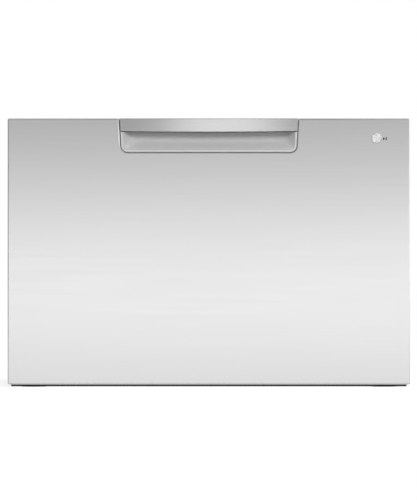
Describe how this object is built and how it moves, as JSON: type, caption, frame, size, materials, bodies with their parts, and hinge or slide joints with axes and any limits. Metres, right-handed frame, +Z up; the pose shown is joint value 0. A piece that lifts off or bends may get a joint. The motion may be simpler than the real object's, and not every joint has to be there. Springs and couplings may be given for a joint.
{
  "type": "dishwasher drawer",
  "caption": "Built-in dishwasher drawer with brushed steel front, finger pocket with grip bar, start button, tub with racks and spray arm on ball runners in a low chassis.",
  "frame": {"origin": "centre of the footprint on the floor, feet screwed right in", "axes": "+X to the right seen from the front, +Y to the back, +Z up; the front panel faces -Y"},
  "size_m": [0.599, 0.574, 0.4],
  "materials": {
    "brushed_steel_front": "horizontally brushed stainless steel, satin",
    "brushed_grip": "horizontally brushed stainless steel",
    "spun_button": "turned stainless steel with circular brushing",
    "pocket_grey": "satin silver-grey moulded plastic",
    "galvanised_sheet": "galvanised steel sheet",
    "runner_steel": "zinc-plated steel",
    "screw_steel": "plated steel",
    "frame_black": "black moulded plastic, fine grain",
    "gasket_rubber": "black rubber",
    "foot_black": "black moulded plastic",
    "tub_moulding": "light grey moulded polypropylene, satin",
    "lid_grey": "mid grey moulded plastic",
    "liner_grey": "light grey moulded plastic",
    "deck_grey": "dark grey moulded plastic",
    "key_grey": "light grey moulded plastic",
    "board_green": "circuit board with solder mask",
    "filter_steel": "perforated stainless steel",
    "heater_steel": "bright-drawn heating tube",
    "copper_winding": "enamelled copper wire on a laminated core",
    "dispenser_grey": "pale grey moulded plastic",
    "blue_grey": "blue-grey moulded plastic",
    "rack_coating": "grey nylon-coated steel wire",
    "rotor_black": "moulded plastic-bonded magnet",
    "hose_grey": "corrugated grey hose",
    "valve_white": "white moulded plastic"
  },
  "bodies": {
    "chassis": {"base_tray": "galvanised_sheet", "side_panels": "galvanised_sheet", "top_panel": "galvanised_sheet", "back_panel": "galvanised_sheet", "front_frame": "frame_black", "front_gasket": "gasket_rubber", "mounting_brackets": "galvanised_sheet", "chassis_screws": "screw_steel", "runner_outer_left": "runner_steel", "runner_outer_right": "runner_steel", "inlet_valve": "valve_white", "drain_spigot": "frame_black", "terminal_box": "frame_black", "lid_actuators": "frame_black", "drain_hose": "hose_grey"},
    "front_left_foot": {"foot_front_left": "foot_black"},
    "front_right_foot": {"foot_front_right": "foot_black"},
    "rear_left_foot": {"foot_rear_left": "foot_black"},
    "rear_right_foot": {"foot_rear_right": "foot_black"},
    "left_runner_middle": {"runner_middle_left": "runner_steel"},
    "right_runner_middle": {"runner_middle_right": "runner_steel"},
    "outer_cages": {"outer_ball_cages": "screw_steel"},
    "inner_cages": {"inner_ball_cages": "screw_steel"},
    "rear_left_link": {"lid_link_rear_left": "runner_steel"},
    "rear_right_link": {"lid_link_rear_right": "runner_steel"},
    "front_left_link": {"lid_link_front_left": "runner_steel"},
    "front_right_link": {"lid_link_front_right": "runner_steel"},
    "lid": {"tub_lid": "lid_grey", "lid_seal": "gasket_rubber"},
    "drawer": {"drawer_tub": "tub_moulding", "sump_bowl": "tub_moulding", "front_panel": "brushed_steel_front", "front_liner": "liner_grey", "handle_pocket": "pocket_grey", "handle_grip": "brushed_grip", "control_deck": "deck_grey", "control_board": "board_green", "runner_inner_left": "runner_steel", "runner_inner_right": "runner_steel", "filter_plate": "filter_steel", "heater_ring": "heater_steel", "motor_stator": "copper_winding", "dispenser_body": "dispenser_grey", "fan_housing": "dispenser_grey", "dish_rack": "rack_coating", "cutlery_basket": "blue_grey"},
    "start": {"start_button": "spun_button"},
    "power": {"power_key": "key_grey"},
    "program": {"program_key": "key_grey"},
    "lock": {"lock_key": "key_grey"},
    "dispenser_flap": {"dispenser_lid": "blue_grey"},
    "rinse_cap": {"rinse_aid_cap": "blue_grey"},
    "filter_cup": {"drain_filter": "blue_grey"},
    "left_cup_rack": {"cup_rack_left": "rack_coating"},
    "right_cup_rack": {"cup_rack_right": "rack_coating"},
    "left_tines": {"tine_row_left": "rack_coating"},
    "right_tines": {"tine_row_right": "rack_coating"},
    "arm": {"spray_arm": "blue_grey"},
    "rotor": {"pump_rotor": "rotor_black"},
    "fan": {"fan_impeller": "rotor_black"}
  },
  "joints": [
    {"name": "drawer_slide", "type": "slide", "parent": "chassis", "child": "drawer", "axis": [0, -1, 0], "range_m": [0, 0.5], "deforming": ["drain_hose"]},
    {"name": "left_runner_slide", "type": "slide", "parent": "chassis", "child": "left_runner_middle", "axis": [0, -1, 0], "range_m": [0, 0.25]},
    {"name": "right_runner_slide", "type": "slide", "parent": "chassis", "child": "right_runner_middle", "axis": [0, -1, 0], "range_m": [0, 0.25]},
    {"name": "outer_cage_slide", "type": "slide", "parent": "chassis", "child": "outer_cages", "axis": [0, -1, 0], "range_m": [0, 0.125]},
    {"name": "inner_cage_slide", "type": "slide", "parent": "chassis", "child": "inner_cages", "axis": [0, -1, 0], "range_m": [0, 0.375]},
    {"name": "front_left_foot_screw", "type": "slide", "parent": "chassis", "child": "front_left_foot", "axis": [0, 0, -1], "range_m": [0, 0.025]},
    {"name": "front_right_foot_screw", "type": "slide", "parent": "chassis", "child": "front_right_foot", "axis": [0, 0, -1], "range_m": [0, 0.025]},
    {"name": "rear_left_foot_screw", "type": "slide", "parent": "chassis", "child": "rear_left_foot", "axis": [0, 0, -1], "range_m": [0, 0.025]},
    {"name": "rear_right_foot_screw", "type": "slide", "parent": "chassis", "child": "rear_right_foot", "axis": [0, 0, -1], "range_m": [0, 0.025]},
    {"name": "lid_drive", "type": "hinge", "parent": "chassis", "child": "rear_left_link", "pos_m": [-0.286, 0.146, 0.37409], "axis": [-1, 0, 0], "range_deg": [0, 20]},
    {"name": "rear_right_link_turn", "type": "hinge", "parent": "chassis", "child": "rear_right_link", "pos_m": [0.286, 0.146, 0.37409], "axis": [-1, 0, 0], "range_deg": [0, 20]},
    {"name": "front_left_link_turn", "type": "hinge", "parent": "chassis", "child": "front_left_link", "pos_m": [-0.286, -0.151, 0.37409], "axis": [-1, 0, 0], "range_deg": [0, 20]},
    {"name": "front_right_link_turn", "type": "hinge", "parent": "chassis", "child": "front_right_link", "pos_m": [0.286, -0.151, 0.37409], "axis": [-1, 0, 0], "range_deg": [0, 20]},
    {"name": "lid_levelling", "type": "hinge", "parent": "rear_left_link", "child": "lid", "pos_m": [-0.286, 0.18464, 0.38444], "axis": [-1, 0, 0], "range_deg": [-20, 0]},
    {"name": "start_press", "type": "slide", "parent": "drawer", "child": "start", "axis": [0, 1, 0], "range_m": [0, 0.0015], "stiffness_N_per_m": 1200},
    {"name": "power_press", "type": "slide", "parent": "drawer", "child": "power", "axis": [0, 0, -1], "range_m": [0, 0.001], "stiffness_N_per_m": 800},
    {"name": "program_press", "type": "slide", "parent": "drawer", "child": "program", "axis": [0, 0, -1], "range_m": [0, 0.001], "stiffness_N_per_m": 800},
    {"name": "lock_press", "type": "slide", "parent": "drawer", "child": "lock", "axis": [0, 0, -1], "range_m": [0, 0.001], "stiffness_N_per_m": 800},
    {"name": "dispenser_flap_turn", "type": "hinge", "parent": "drawer", "child": "dispenser_flap", "pos_m": [-0.102, -0.1988, 0.256], "axis": [-1, 0, 0], "range_deg": [0, 95]},
    {"name": "rinse_cap_turn", "type": "hinge", "parent": "drawer", "child": "rinse_cap", "pos_m": [-0.05, -0.202, 0.29], "axis": [0, 1, 0], "range_deg": [0, 90]},
    {"name": "filter_turn", "type": "hinge", "parent": "drawer", "child": "filter_cup", "pos_m": [0.062, 0.0145, 0.07], "axis": [0, 0, 1], "range_deg": [0, 50]},
    {"name": "left_cup_rack_fold", "type": "hinge", "parent": "drawer", "child": "left_cup_rack", "pos_m": [-0.247, 0.0145, 0.20802], "axis": [0, -1, 0], "range_deg": [0, 85]},
    {"name": "right_cup_rack_fold", "type": "hinge", "parent": "drawer", "child": "right_cup_rack", "pos_m": [0.247, 0.0145, 0.20802], "axis": [0, 1, 0], "range_deg": [0, 85]},
    {"name": "left_tines_fold", "type": "hinge", "parent": "drawer", "child": "left_tines", "pos_m": [-0.096, 0.0145, 0.10802], "axis": [0, 1, 0], "range_deg": [0, 82]},
    {"name": "right_tines_fold", "type": "hinge", "parent": "drawer", "child": "right_tines", "pos_m": [0.096, 0.0145, 0.10802], "axis": [0, -1, 0], "range_deg": [0, 82]},
    {"name": "arm_spin", "type": "hinge", "parent": "drawer", "child": "arm", "pos_m": [0, 0.0145, 0.085], "axis": [0, 0, 1], "continuous": true},
    {"name": "rotor_spin", "type": "hinge", "parent": "drawer", "child": "rotor", "pos_m": [0, 0.0145, 0.04], "axis": [0, 0, 1], "continuous": true},
    {"name": "fan_spin", "type": "hinge", "parent": "drawer", "child": "fan", "pos_m": [0.12, -0.237, 0.175], "axis": [0, 1, 0], "continuous": true}
  ],
  "couplings": [
    {"joint": "left_runner_slide", "follows": "drawer_slide", "ratio": 0.5},
    {"joint": "right_runner_slide", "follows": "drawer_slide", "ratio": 0.5},
    {"joint": "outer_cage_slide", "follows": "drawer_slide", "ratio": 0.25},
    {"joint": "inner_cage_slide", "follows": "drawer_slide", "ratio": 0.75},
    {"joint": "rear_right_link_turn", "follows": "lid_drive", "ratio": 1},
    {"joint": "front_left_link_turn", "follows": "lid_drive", "ratio": 1},
    {"joint": "front_right_link_turn", "follows": "lid_drive", "ratio": 1},
    {"joint": "lid_levelling", "follows": "lid_drive", "ratio": -1}
  ]
}
